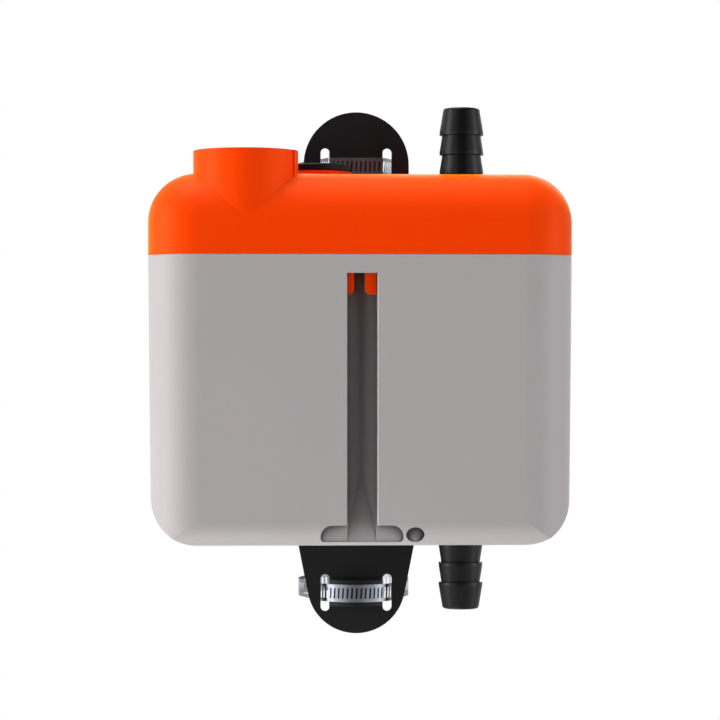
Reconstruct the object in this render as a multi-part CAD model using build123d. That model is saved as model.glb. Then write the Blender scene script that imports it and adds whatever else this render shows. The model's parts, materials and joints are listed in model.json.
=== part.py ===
from build123d import *
import os
from math import acos, atan2, cos, degrees, hypot, radians, sin, tan

# Condensate pump that hangs on a vertical pipe: a grey tank, an orange cover with an open inlet collar,
# a hose barb above and below, and a black bracket held to the pipe by two worm-drive clamps.
# Millimetres. X right, Y away from the front, Z up. The origin is on the pipe's axis, level with the
# middle of the housing's height.

# Pipe and bracket
pipe_r = 25.0
clamp_fit = 0.1  # radial gap between the pipe and what grips it
pad_t = 2.0
plate_t = 3.0
plate_front_y = -35.0
plate_w = 54.0
top_tab_z = 113.0
bottom_tab_z = -125.6
top_tab_r = 24.1
bottom_tab_r = 22.5
shoulder_w = 61.0
shoulder_h = 10.0

# Worm-drive clamps
band_t = 0.8
band_h = 8.0
upper_band_z = 88.1
lower_band_z = -107.0
slot_pitch = 28.4
strap_slot_w = 4.2
strap_slot_h = 17.0
band_corner_r = 1.0  # where the upper band turns back into a slot
bridge_rise = 4.5  # the bridge that the lower band rides over, in front of the plate
bridge_h = 12.0
screw_r = 3.2
screw_fit = 0.08
screw_head_r = 4.3
screw_head_h = 4.0
screw_slot_w = 1.0
worm_l = 12.0
worm_case_l = 14.0
worm_case_wall = 1.2
tail_angle = 34.0

# Housing
housing_gap = 2.0  # from the bracket plate to the housing's back
body_w = 186.0
body_depth = 70.0
body_h = 162.2
cover_h = 35.8
wall = 2.8
draft = 0.6  # degrees, each side of the tank
edge_r = 22.0  # upright front edges, and the tank's lower corners seen from the front
crown_r = 21.5  # round the cover's top
foot_edge_r = 11.0  # the tank's lower front edge
seam_edge = 0.4  # chamfer round the tank's mouth and the cover's lower edge

# Hanging rails on the tank's back
rail_t = 3.0
rail_lip_w = 5.0
rail_lip_t = 2.4
rail_fit = 0.3
rail_bottom_z = -62.0
rail_top_z = 30.0

# Groove down the tank's front, with its wider foot
groove_x = 0.0
groove_w = 13.0
groove_depth = 11.0
groove_top_z = 37.1
ramp_z = -46.0
foot_w = 35.8
foot_h = 7.3
foot_depth = 6.2
foot_bottom_z = -79.1
foot_shoulder_r = 5.0
foot_toe_r = 1.5
groove_edge_r = 0.7
dimple_x = 23.0
dimple_z = -75.9
dimple_w = 7.9
dimple_h = 6.6
dimple_depth = 6.2

# Cover fingers that drop into the groove
finger_fit = 0.3
left_finger_w = 2.7
right_finger_w = 4.8
finger_tip_z = 28.0
finger_tip_r = 2.3
finger_root_h = 5.0

# Deck inside the seam, its gasket and the cover's skirt
deck_t = 3.0
deck_top_below_seam = 4.0
deck_fit = 0.3
gasket_w = 4.0
gasket_t = 1.8
skirt_t = 2.0
skirt_fit = 0.4
skirt_rise = 3.0
ledge_w = 10.5
ledge_h = 11.0

# Inlet collar, its seal and the strainer below it
collar_x = -50.3
collar_r = 23.0
collar_rise = 9.9
collar_set_back = 0.15
drain_pipe_r = 20.0
drain_pipe_fit = 0.15
socket_depth = 30.0
shelf_t = 4.5
shelf_bore_r = 15.6
seal_groove_r = 21.6
seal_h = 3.0
seal_below_rim = 5.0
key_rib_w = 2.2
key_rib_t = 0.7
key_rib_angle = -24.0
strainer_r = 15.0
strainer_wall = 1.4
strainer_flange_r = 19.7
strainer_flange_t = 1.8
strainer_fit = 0.2
strainer_depth = 24.0
strainer_slot_w = 3.0
strainer_slot_count = 12
strainer_hole_r = 1.8
strainer_ring_pitch = 5.1
strainer_ring_count = 2
strainer_ring_holes = 6  # in the first ring, and as many more in each ring outside it

# Vent cap and its boss
cap_x = -18.3
cap_y = -55.0
cap_r = 15.0
cap_t = 3.0
cap_edge_r = 1.0
cap_gap = 0.3
cap_boss_r = 15.4
cap_boss_rise = 2.8
cap_bore_r = 12.0
cap_plug_r = 11.7
cap_plug_l = 8.0
cap_plug_wall = 2.0
cap_ring_r = 0.9
cap_ring_fit = 0.15

# Hose barbs for 19 mm hose, one pointing up over the check valve and one down under the standpipe
barb_x = 45.3
upper_barb_y = -74.0
lower_barb_y = -68.0
barb_l = 30.0
barb_bore_r = 6.2
barb_tip_r = 8.0
barb_lip_r = 9.75
barb_neck_r = 8.6
barb_lip_h = 1.4
barb_first_lip = 11.3
barb_pitch = 8.7
barb_count = 3
barb_tip_edge_r = 1.2
barb_flange_r = 12.4
barb_flange_t = 3.0
barb_hole_fit = 0.2
washer_t = 1.5
spigot_r = 8.6
spigot_l = 11.0

# Pump column, impeller and volute
pump_x = 16.0
pump_y = -66.0
shaft_r = 2.5
shaft_fit = 0.05
column_r = 8.0
column_bore_r = 6.0
column_foot_r = 12.8
column_port_drop = 12.0
bush_l = 8.0
volute_r = 17.5
volute_wall = 2.2
volute_h = 16.0
volute_bottom_z = -72.0
impeller_r = 13.0
impeller_h = 8.0
impeller_disc_t = 1.6
impeller_hub_r = 4.2
vane_t = 1.4
vane_count = 6
vane_sweep = 55.0
outlet_r = 6.5
outlet_bore_r = 4.7
outlet_boss_t = 1.5
outlet_inset = 0.4
duct_r = 4.0
outlet_y = -89.8
grille_t = 1.6
grille_h = 4.0
grille_slot_count = 10

# Motor on the deck
motor_r = 16.0
motor_can_t = 1.2
motor_h = 27.0
motor_seat_h = 2.0
motor_seat_bore_r = 7.5
magnet_t = 2.6
armature_r = 11.6
armature_h = 17.0
armature_slots = 5
armature_slot_w = 2.4
armature_core_r = 5.2
end_bell_h = 4.0
bearing_r = 5.0
bearing_h = 4.0

# Check valve between the pump's riser and the upper barb
valve_r = 10.0
valve_wall_floor = 3.0
valve_foot_t = 1.2
valve_base_h = 9.0
valve_top_z = 73.0
ball_r = 5.4
seat_bore_r = 4.4
cage_bore_r = 6.6
passage_r = 2.8
ball_fit = 0.03
spigot_end_gap = 1.2

# Overflow standpipe on the lower barb
standpipe_bore_r = 8.7
standpipe_wall = 1.6
standpipe_top_z = 22.0

# Floats
float_x = 72.5
float_y = -66.0
stem_r = 4.0
stem_end_z = -64.0
float_r = 13.0
float_bore_r = 4.4
run_float_h = 20.0
run_float_z = -57.5
run_float_travel = 22.0
alarm_float_h = 14.0
alarm_float_z = 4.0
alarm_float_travel = 9.0
clip_t = 1.2
clip_r = 6.2
clip_gap = 0.3
clip_mouth = 4.8
stem_head_r = 7.0
stem_head_h = 3.0

# Electronics on the deck's right side
board_x = 72.5
board_y = -69.0
board_w = 27.0
board_l = 44.0
board_t = 1.6
board_rise = 7.0
standoff_r = 2.6
standoff_inset = 3.6
terminal_l = 22.0
terminal_w = 9.0
terminal_h = 11.0
terminal_ways = 4
terminal_hole_r = 1.75
terminal_mouth_w = 3.3
relay_l = 19.0
relay_w = 13.0
relay_h = 15.0
capacitor_r = 5.0
capacitor_h = 13.0

# Screws and the cable grommet
cover_screw_x = 50.0
cover_screw_y = -50.0
cover_screw_r = 2.0
cover_screw_head_r = 3.7
cover_screw_head_h = 2.6
cover_screw_sink = 3.6
cover_screw_l = 44.0
post_r = 5.2
post_fit = 0.25
deck_screw_x = 82.5
deck_screw_r = 1.5
deck_screw_l = 12.0
deck_screw_head_r = 2.6
deck_screw_head_h = 2.2
grommet_x = 70.0
grommet_z = 62.0
grommet_r = 6.0
grommet_lip_r = 8.0
grommet_lip_t = 1.5
grommet_bore_r = 3.5
grommet_groove_fit = 0.2

# Heights and planes that follow from the sizes above
top_z = body_h / 2
bottom_z = -body_h / 2
seam_z = top_z - cover_h
tank_h = body_h - cover_h
plate_back_y = plate_front_y + plate_t
back_y = plate_front_y - housing_gap
front_y = back_y - body_depth
middle_y = (front_y + back_y) / 2
deck_top_z = seam_z - deck_top_below_seam
deck_bottom_z = deck_top_z - deck_t
gasket_top_z = deck_top_z + gasket_t
floor_z = bottom_z + wall
ceiling_z = top_z - wall
grip_r = pipe_r + clamp_fit
slot_inner_x = (slot_pitch - strap_slot_w) / 2
bridge_r = (slot_inner_x**2 + bridge_rise**2) / (2 * bridge_rise)
bridge_y = plate_front_y - bridge_rise + bridge_r
collar_y = front_y + collar_r + collar_set_back
collar_top_z = top_z + collar_rise
shelf_z = collar_top_z - socket_depth
socket_r = drain_pipe_r + drain_pipe_fit
volute_top_z = volute_bottom_z + volute_h
riser_x = pump_x + volute_r - outlet_r - outlet_inset
riser_foot_z = volute_top_z + outlet_boss_t
motor_bottom_z = deck_top_z + motor_seat_h
motor_top_z = motor_bottom_z + motor_h
board_z = deck_top_z + board_rise
relay_y = board_y - board_l / 5
seat_z = deck_top_z + valve_base_h

over = 1.0  # how far a cut runs past the face it leaves
low = (Align.CENTER, Align.CENTER, Align.MIN)
written = []


def rod(radius, z_low, z_high, x=0.0, y=0.0):
    return Pos(x, y, z_low) * Cylinder(radius, z_high - z_low, align=low)


def tube(outer, inner, z_low, z_high, x=0.0, y=0.0):
    return rod(outer, z_low, z_high, x, y) - rod(inner, z_low - over, z_high + over, x, y)


# A round bar lying front to back
def barAlongY(radius, y_low, y_high, x, z):
    return Pos(x, y_high, z) * Rot(90, 0, 0) * Cylinder(radius, y_high - y_low, align=low)


# A round bar lying left to right
def barAlongX(radius, x_low, x_high, y, z):
    return Pos(x_low, y, z) * Rot(0, 90, 0) * Cylinder(radius, x_high - x_low, align=low)


def block(x_range, y_range, z_range):
    ranges = (x_range, y_range, z_range)
    size = [high - start for start, high in ranges]
    middle = [(high + start) / 2 for start, high in ranges]
    return Pos(*middle) * Box(*size)


# A sketch seen from the front, thickened between two depths
def slab(sketch, y_low, y_high):
    return extrude(Plane.XZ.offset(-y_high) * sketch, amount=y_high - y_low)


# A sketch seen from above, thickened between two heights
def layer(sketch, z_low, z_high):
    return extrude(Pos(0, 0, z_low) * sketch, amount=z_high - z_low)


# Copies of a shape turned evenly round an upright axis
def spread(shape, count, x, y):
    around = Pos(x, y, 0)
    return [around * Rot(0, 0, 360 * step / count) * around.inverse() * shape for step in range(count)]


def keep(name, shape):
    solids = shape.solids()
    result = solids[0] if len(solids) == 1 else Compound(children=solids)
    result.label = name
    export_step(result, f"parts/{name}.step")
    written.append(name)


# The housing's plan, mirrored across its back so that the back can be cut flat
def planSketch(inset):
    return Pos(0, back_y) * RectangleRounded(body_w - 2 * inset, 2 * (body_depth - inset), edge_r - inset)


def inFrontOf(y, shape):
    return shape & block(
        (-body_w, body_w),
        (front_y - edge_r, y),
        (bottom_z - edge_r, collar_top_z + edge_r),
    )


# A flat layer of the housing's plan, inset from its outside on every side
def plateForm(inset, z_low, z_high):
    return inFrontOf(back_y - inset, layer(planSketch(inset), z_low, z_high))


# What a round lower corner leaves outside it, drawn with the drafted wall at the right
def cornerWaste(wall_x, radius, centre_z):
    lean = radians(draft)
    centre_x = wall_x - radius / cos(lean)
    touch_x = centre_x + radius * cos(lean)
    touch_z = centre_z - radius * sin(lean)
    far_x = touch_x + edge_r
    low_z = centre_z - radius - edge_r
    outside = make_face(
        Polyline(
            (touch_x, touch_z),
            (far_x, touch_z),
            (far_x, low_z),
            (centre_x, low_z),
            (centre_x, touch_z),
            close=True,
        )
    )
    return outside - Pos(centre_x, centre_z) * Circle(radius)


# The drafted tank with round lower corners and a round lower front edge, inset from its outside
def tankForm(inset):
    form = extrude(Pos(0, 0, seam_z) * planSketch(inset), amount=tank_h - inset, dir=(0, 0, -1), taper=draft)
    form = inFrontOf(back_y - inset, form)
    slope = tan(radians(draft))
    side_r = edge_r - inset
    side_z = bottom_z + inset + side_r
    side_x = body_w / 2 - inset - (seam_z - side_z) * slope
    side = slab(cornerWaste(side_x, side_r, side_z), front_y - over, back_y + over)
    toe_r = foot_edge_r - inset
    toe_z = bottom_z + inset + toe_r
    toe_reach = -front_y - inset - (seam_z - toe_z) * slope
    toe_plane = Plane(origin=(body_w, 0, 0), x_dir=(0, -1, 0), z_dir=(-1, 0, 0))
    toe = extrude(toe_plane * cornerWaste(toe_reach, toe_r, toe_z), amount=2 * body_w)
    return form - side - mirror(side, Plane.YZ) - toe


# The crowned cover, inset from its outside
def coverForm(inset):
    form = layer(planSketch(inset), seam_z, top_z - inset)
    form = fillet(form.edges().group_by(Axis.Z)[-1], crown_r - inset)
    return inFrontOf(back_y - inset, form)


# The groove seen from above: straight sides and a half-round floor
def grooveSketch(growth, start_y):
    radius = groove_w / 2 + growth
    centre_y = front_y + groove_depth - groove_w / 2
    straight = Pos(groove_x, (start_y + centre_y) / 2) * Rectangle(2 * radius, centre_y - start_y)
    floor = Circle(radius) - Pos(0, -radius) * Rectangle(2 * radius, 2 * radius)
    return straight + Pos(groove_x, centre_y) * floor


# The part of the front wall that carries the groove up to the seam
def grooveCore(clearance):
    return layer(grooveSketch(wall + clearance, front_y - over), bottom_z, seam_z)


# The groove's foot seen from the front, with round shoulders
def footSketch(growth):
    foot = Pos(groove_x, foot_bottom_z + foot_h / 2) * Rectangle(foot_w + 2 * growth, foot_h + 2 * growth)
    foot = fillet(foot.vertices().group_by(Axis.Y)[-1], foot_shoulder_r + growth)
    return fillet(foot.vertices().group_by(Axis.Y)[0], foot_toe_r + growth)


# The groove's depth down the front: straight, then its floor sweeps forward into the foot
def grooveSide(growth):
    floor_y = front_y + groove_depth + growth
    low_y = front_y + foot_depth + growth
    low_z = foot_bottom_z - growth
    sweep = RadiusArc((floor_y, ramp_z), (low_y, low_z), sweepRadius(floor_y - low_y, ramp_z - low_z))
    outline = sweep + Polyline(
        (low_y, low_z),
        (front_y - over, low_z),
        (front_y - over, seam_z),
        (floor_y, seam_z),
        (floor_y, ramp_z),
    )
    face = make_face(Plane.YZ.offset(groove_x - body_w / 2) * outline)
    return extrude(face, amount=body_w, dir=(1, 0, 0))


# The groove's two long front edges
def grooveEdges(tank):
    found = []
    for side in (groove_x - groove_w / 2, groove_x + groove_w / 2):
        for edge in tank.edges():
            middle = edge.center()
            on_side = abs(middle.X - side) < finger_fit and middle.Y < front_y + wall
            if on_side and edge.length > groove_top_z - ramp_z:
                found.append(edge)
    return found


# Radius of an arc that leaves a straight line and comes forward by one distance over another
def sweepRadius(forward, along):
    return (forward**2 + along**2) / (2 * forward)


def buildTank():
    shell = tankForm(0)
    shell = chamfer(shell.edges().group_by(Axis.Z)[-1], seam_edge)
    opening = plateForm(wall, seam_z, seam_z + wall)
    hollow = tankForm(wall) + opening
    core = grooveCore(0) & grooveSide(wall)
    core += slab(footSketch(wall), front_y, front_y + foot_depth + wall)
    dimple = Pos(dimple_x, dimple_z) * Ellipse(dimple_w / 2, dimple_h / 2)
    dimple_core = Pos(dimple_x, dimple_z) * Ellipse(dimple_w / 2 + wall, dimple_h / 2 + wall)
    core += slab(dimple_core, front_y, front_y + dimple_depth + wall)
    tank = shell - hollow + (core & shell)
    front_cut = layer(grooveSketch(0, front_y - over), foot_bottom_z, groove_top_z) & grooveSide(0)
    upper_cut = layer(grooveSketch(0, front_y + wall), groove_top_z, seam_z + over)
    tank -= front_cut
    tank -= slab(footSketch(0), front_y - over, front_y + foot_depth)
    tank = fillet(grooveEdges(tank), groove_edge_r)
    tank -= upper_cut
    tank -= slab(dimple, front_y - over, front_y + dimple_depth)
    ledges = plateForm(wall / 2, deck_bottom_z - ledge_h, deck_bottom_z) - plateForm(
        wall + ledge_w, bottom_z, top_z
    )
    ledge_bands = block((-body_w, -body_w / 2 + edge_r), (front_y, back_y), (bottom_z, top_z))
    ledges &= ledge_bands + mirror(ledge_bands, Plane.YZ)
    tank += ledges & tankForm(wall / 2)
    tank -= rod(barb_neck_r + barb_hole_fit, bottom_z - over, floor_z + over, barb_x, lower_barb_y)
    for side in (-1, 1):
        tank -= rod(deck_screw_r, deck_top_z - deck_screw_l, deck_top_z, side * deck_screw_x, middle_y)
    web_x = plate_w / 2 + rail_fit
    lip_y = plate_back_y + rail_fit
    rail = block(
        (web_x, web_x + rail_t),
        (back_y - wall / 2, lip_y + rail_lip_t),
        (rail_bottom_z, rail_top_z),
    )
    rail += block(
        (web_x + rail_t - rail_lip_w, web_x + rail_t), (lip_y, lip_y + rail_lip_t), (
            rail_bottom_z, rail_top_z
        )
    )
    tank += rail
    tank += mirror(rail, Plane.YZ)
    for side in (-1, 1):
        x = side * cover_screw_x
        post = rod(post_r, deck_bottom_z - cover_screw_l / 2, deck_bottom_z, x, cover_screw_y)
        rib = block((x - wall / 2, x + wall / 2), (cover_screw_y, back_y - wall / 2),
                    (deck_bottom_z - cover_screw_l / 2, deck_bottom_z))
        tank += post + rib
        tank -= rod(
            cover_screw_r,
            deck_bottom_z - cover_screw_l / 2 - over,
            deck_bottom_z + over,
            x,
            cover_screw_y,
        )
    return tank


# The orange cover: crowned shell, inlet collar, cap boss, screw posts, skirt and the two groove fingers
def buildCover():
    shell = coverForm(0)
    shell = chamfer(shell.edges().group_by(Axis.Z)[0], seam_edge)
    cover = shell - coverForm(wall) - plateForm(wall, seam_z - over, seam_z + over)
    skirt = plateForm(wall + skirt_fit, gasket_top_z, seam_z + skirt_rise)
    skirt += plateForm(wall / 2, seam_z, seam_z + skirt_rise)
    skirt -= plateForm(wall + skirt_fit + skirt_t, bottom_z, top_z)
    skirt -= grooveCore(skirt_fit)
    cover += skirt & (coverForm(wall / 2) + plateForm(wall, bottom_z, seam_z))
    collar = rod(collar_r, top_z - crown_r - over, collar_top_z, collar_x, collar_y)
    cover += inFrontOf(back_y, collar)
    cover += rod(collar_r, shelf_z - shelf_t, top_z, collar_x, collar_y) & coverForm(0)
    cover -= rod(socket_r, shelf_z, collar_top_z + over, collar_x, collar_y)
    cover -= rod(
        strainer_flange_r + strainer_fit,
        shelf_z - strainer_flange_t,
        collar_top_z,
        collar_x,
        collar_y,
    )
    cover -= rod(shelf_bore_r, bottom_z, collar_top_z, collar_x, collar_y)
    groove_z = collar_top_z - seal_below_rim
    cover -= rod(seal_groove_r, groove_z - seal_h, groove_z, collar_x, collar_y)
    key_rib = block(
        (collar_r - key_rib_t, collar_r + key_rib_t), (-key_rib_w / 2, key_rib_w / 2), (
            top_z - wall, collar_top_z
        )
    )
    cover += Pos(collar_x, collar_y) * Rot(0, 0, key_rib_angle) * key_rib
    cover += rod(cap_boss_r, ceiling_z - cap_plug_l + wall, top_z + cap_boss_rise, cap_x, cap_y) & (
        coverForm(0) + rod(cap_boss_r, top_z, collar_top_z, cap_x, cap_y)
    )
    cover -= rod(cap_bore_r, seam_z, collar_top_z, cap_x, cap_y)
    for side in (-1, 1):
        x = side * cover_screw_x
        cover += rod(post_r, deck_top_z + post_fit, ceiling_z + over, x, cover_screw_y)
        cover -= rod(cover_screw_r + post_fit, seam_z - wall - deck_t, top_z + over, x, cover_screw_y)
        cover -= rod(
            cover_screw_head_r + post_fit, top_z - cover_screw_sink, top_z + over, x, cover_screw_y
        )
    cover -= rod(barb_neck_r + barb_hole_fit, seam_z, top_z + over, barb_x, upper_barb_y)
    cover -= barAlongY(grommet_r, back_y - wall - over, back_y + over, grommet_x, grommet_z)
    return cover + buildFingers()


# Two rounded tabs that hang from the cover's front edge and line the top of the groove
def buildFingers():
    inside_y = front_y + wall + finger_fit
    hanging = layer(grooveSketch(-finger_fit, inside_y), finger_tip_z, seam_z + finger_root_h)
    low_x = groove_x - groove_w / 2
    high_x = groove_x + groove_w / 2
    left = slab(
        fingerSketch(low_x, low_x + finger_fit + left_finger_w, left_finger_w - finger_fit),
        front_y,
        back_y,
    )
    right = slab(fingerSketch(high_x - finger_fit - right_finger_w, high_x, finger_tip_r), front_y, back_y)
    root_y = front_y + groove_depth
    root = block(
        (low_x - wall, high_x + wall),
        (front_y + wall / 2, root_y),
        (seam_z + finger_fit, seam_z + finger_root_h),
    )
    return (hanging & (left + right)) + root


# One finger's outline seen from the front, with a round lower corner on its inner side
def fingerSketch(x_low, x_high, tip_r):
    height = seam_z + finger_root_h - finger_tip_z
    finger = Pos((x_low + x_high) / 2, finger_tip_z + height / 2) * Rectangle(x_high - x_low, height)
    inner = 1 if x_high < groove_x + groove_w / 4 else 0
    corner = finger.vertices().group_by(Axis.Y)[0].sort_by(Axis.X)[inner]
    return fillet(corner, tip_r)


# The flat deck that closes the tank and carries everything that works inside
def buildDeck():
    deck = plateForm(wall + deck_fit, deck_bottom_z, deck_top_z)
    deck -= grooveCore(deck_fit)
    deck -= rod(shelf_bore_r, bottom_z, top_z, collar_x, collar_y)
    deck -= rod(column_bore_r, bottom_z, top_z, pump_x, pump_y)
    deck -= rod(outlet_r + post_fit, bottom_z, top_z, riser_x, outlet_y)
    deck -= rod(stem_r + post_fit, bottom_z, top_z, float_x, float_y)
    deck += tube(
        motor_r + motor_can_t,
        motor_r + post_fit,
        deck_top_z,
        motor_bottom_z + motor_seat_h,
        pump_x,
        pump_y,
    )
    deck += tube(motor_r + post_fit, motor_seat_bore_r, deck_top_z, motor_bottom_z, pump_x, pump_y)
    for x, y in standoffPlaces():
        deck += rod(standoff_r, deck_top_z, board_z, x, y)
    for side in (-1, 1):
        deck -= rod(cover_screw_r + post_fit, bottom_z, top_z, side * cover_screw_x, cover_screw_y)
        deck -= rod(deck_screw_r, bottom_z, top_z, side * deck_screw_x, middle_y)
    return deck


def standoffPlaces():
    reach_x = board_w / 2 - standoff_inset
    reach_y = board_l / 2 - standoff_inset
    return [(board_x + i * reach_x, board_y + j * reach_y) for i in (-1, 1) for j in (-1, 1)]


# One hose barb: flange and spigot inside the housing, barbed tail outside; base on the wall's outer face
def barbForm():
    edge = [(barb_bore_r, -wall - washer_t - barb_flange_t - spigot_l)]
    edge.append((spigot_r, edge[0][1]))
    flange_low = -wall - washer_t - barb_flange_t
    flange_high = flange_low + barb_flange_t
    edge += [(spigot_r, flange_low), (barb_flange_r, flange_low)]
    edge += [(barb_flange_r, flange_high), (barb_neck_r, flange_high)]
    for step in range(barb_count - 1, -1, -1):
        lip_top = barb_l - barb_first_lip - step * barb_pitch + barb_lip_h / 2
        cone_top = barb_l if step == 0 else lip_top + barb_pitch - barb_lip_h
        cone_r = barb_tip_r if step == 0 else barb_neck_r
        if step == barb_count - 1:
            edge += [(barb_neck_r, lip_top - barb_lip_h)]
        edge += [(barb_lip_r, lip_top - barb_lip_h), (barb_lip_r, lip_top), (cone_r, cone_top)]
    edge.append((barb_bore_r, barb_l))
    profile = make_face(Plane.XZ * Polyline(*edge, close=True))
    barb = revolve(profile, Axis.Z)
    tip = barb.edges().filter_by(GeomType.CIRCLE).group_by(Axis.Z)[-1].sort_by(SortBy.RADIUS)[-1]
    return fillet(tip, barb_tip_edge_r)


# A flat washer between a barb's flange and the wall
def barbWasher():
    return tube(barb_flange_r, barb_neck_r + barb_hole_fit, -wall - washer_t, -wall)


def upward(shape):
    return Pos(barb_x, upper_barb_y, top_z) * shape


def downward(shape):
    return Pos(barb_x, lower_barb_y, bottom_z) * Rot(180, 0, 0) * shape


# The black plate behind the housing: round tabs, strap slots, saddles and shoulders that the rails rest on
def bracketOutline():
    top_centre = top_tab_z - top_tab_r
    bottom_centre = bottom_tab_z + bottom_tab_r
    shoulder_top = rail_bottom_z - rail_fit
    middle = Pos(0, (top_centre + bottom_z) / 2) * Rectangle(2 * top_tab_r, top_centre - bottom_z)
    trunk = Pos(0, (rail_top_z + 2 * rail_t + bottom_z) / 2) * Rectangle(
        plate_w, rail_top_z + 2 * rail_t - bottom_z
    )
    taper = make_hull(
        (Pos(0, bottom_centre) * Circle(bottom_tab_r)).edges()
        + (Pos(0, bottom_z) * Rectangle(plate_w, plate_t)).edges()
    )
    shoulders = Pos(0, shoulder_top - shoulder_h / 2) * Rectangle(shoulder_w, shoulder_h)
    return middle + trunk + taper + shoulders + Pos(0, top_centre) * Circle(top_tab_r)


def buildBracket():
    plate = slab(bracketOutline(), plate_front_y, plate_back_y)
    inner = (-slot_inner_x, slot_inner_x)
    bridge_low_z, bridge_high_z = lower_band_z - bridge_h / 2, lower_band_z + bridge_h / 2
    bridge = rod(bridge_r, bridge_low_z, bridge_high_z, 0, bridge_y)
    bridge_front = plate_front_y - bridge_rise - over
    plate += bridge & block(inner, (bridge_front, plate_front_y + plate_t / 2), (bridge_low_z, bridge_high_z))
    for z in (upper_band_z, lower_band_z):
        saddle = block(inner, (plate_back_y, 0), (z - strap_slot_h / 2, z + strap_slot_h / 2))
        plate += saddle - rod(grip_r + pad_t, z - strap_slot_h, z + strap_slot_h)
        for side in (-1, 1):
            slot = SlotCenterToCenter(strap_slot_h - strap_slot_w, strap_slot_w, 90)
            slot = Pos(side * slot_pitch / 2, z) * slot
            plate -= slab(slot, plate_front_y - over, plate_back_y + over)
    return plate


# The rubber pad on a saddle, against the pipe
def buildPad(z):
    pad = tube(grip_r + pad_t, grip_r, z - strap_slot_h / 2, z + strap_slot_h / 2)
    inner = (-slot_inner_x, slot_inner_x)
    return pad & block(inner, (-grip_r - 2 * pad_t, 0), (z - strap_slot_h, z + strap_slot_h))


# A clamp's band seen from above. The upper one lies flat on the bracket, so that the housing can slide
# up past it; the lower one rides over the bridge. Both go back through the slots and round the pipe.
def bandSketch(growth, z):
    path = Circle(grip_r + growth).edges()
    if z == lower_band_z:
        path += (Pos(0, bridge_y) * Circle(bridge_r + growth)).edges()
    else:
        for x in (-slot_inner_x, slot_inner_x):
            path += (Pos(x, plate_front_y + band_corner_r) * Circle(band_corner_r + growth)).edges()
    return make_hull(path)


def buildBand(z):
    band = layer(bandSketch(band_t, z) - bandSketch(0, z), z - band_h / 2, z + band_h / 2)
    tail = tube(grip_r + 2 * band_t, grip_r + band_t, z - band_h / 2, z + band_h / 2)
    reach = 4 * grip_r
    wedge = Polygon(
        (0, 0),
        (0, reach),
        (reach * cos(radians(tail_angle)), reach * sin(radians(tail_angle))),
        align=None,
    )
    return band + (tail & layer(wedge, z - band_h, z + band_h))


# The worm case on the band behind the pipe, open round the screw
def buildWormCase(z):
    inner_y = grip_r + 2 * band_t
    height = screw_r + worm_case_wall + screw_fit
    axis_y = inner_y + height
    case = block(
        (-worm_case_l / 2, worm_case_l / 2),
        (grip_r - over, axis_y + height),
        (z - band_h / 2 - worm_case_wall, z + band_h / 2 + worm_case_wall),
    )
    top_edges = case.edges().filter_by(Axis.X).group_by(Axis.Y)[-1]
    case = fillet(top_edges, screw_r)
    case -= rod(inner_y, z - band_h / 2, z + band_h / 2)
    case -= rod(grip_r + band_t, z - band_h, z + band_h)
    return case - barAlongX(screw_r + screw_fit, -worm_case_l, worm_case_l, axis_y, z)


# The worm screw with its slotted hexagon head, lying across the back of the pipe
def buildWormScrew(z):
    axis_y = grip_r + 2 * band_t + screw_r + worm_case_wall + screw_fit
    head_x = worm_case_l / 2 + worm_case_wall
    screw = barAlongX(screw_r, head_x - worm_l - worm_case_wall, head_x, axis_y, z)
    head_sketch = Plane.YZ.offset(head_x) * Pos(axis_y, z) * RegularPolygon(screw_head_r, 6)
    head = extrude(head_sketch, amount=screw_head_h, dir=(1, 0, 0))
    slot = block(
        (head_x + screw_head_h / 2, head_x + screw_head_h + over),
        (axis_y - screw_slot_w / 2, axis_y + screw_slot_w / 2),
        (z - screw_head_r, z + screw_head_r),
    )
    return screw + head - slot


def buildStrainer():
    top = shelf_z
    bottom = shelf_z - strainer_depth
    basket = rod(strainer_r, bottom, top, collar_x, collar_y)
    basket += rod(strainer_flange_r, shelf_z - strainer_flange_t, top, collar_x, collar_y)
    basket -= rod(strainer_r - strainer_wall, bottom + strainer_wall, top + over, collar_x, collar_y)
    slot = block(
        (collar_x, collar_x + 2 * strainer_r),
        (collar_y - strainer_slot_w / 2, collar_y + strainer_slot_w / 2),
        (bottom + 2 * strainer_wall, shelf_z - strainer_flange_t - 2 * strainer_wall),
    )
    for cut in spread(slot, strainer_slot_count, collar_x, collar_y):
        basket -= cut
    basket -= rod(strainer_hole_r, bottom - over, bottom + 2 * strainer_wall, collar_x, collar_y)
    for ring in range(1, strainer_ring_count + 1):
        hole_x = collar_x + ring * strainer_ring_pitch
        hole = rod(strainer_hole_r, bottom - over, bottom + 2 * strainer_wall, hole_x, collar_y)
        for cut in spread(hole, ring * strainer_ring_holes, collar_x, collar_y):
            basket -= cut
    return basket


def buildSeal():
    groove_z = collar_top_z - seal_below_rim
    return tube(seal_groove_r, socket_r, groove_z - seal_h, groove_z, collar_x, collar_y)


def buildVentCap():
    low_z = top_z + cap_boss_rise + cap_gap
    disc = rod(cap_r, low_z, low_z + cap_t, cap_x, cap_y)
    disc = fillet(disc.edges().filter_by(GeomType.CIRCLE).group_by(Axis.Z)[-1], cap_edge_r)
    plug = tube(cap_plug_r, cap_plug_r - cap_plug_wall, low_z - cap_plug_l, low_z + cap_t / 2, cap_x, cap_y)
    cap = disc + plug
    return cap - capRingTorus(cap_ring_fit)


# The cap's O-ring seats in a groove round its plug
def capRingTorus(growth):
    low_z = top_z + cap_boss_rise + cap_gap
    return Pos(cap_x, cap_y, low_z - cap_plug_l / 2) * Torus(
        cap_bore_r - cap_ring_r - shaft_fit, cap_ring_r + growth
    )


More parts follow.
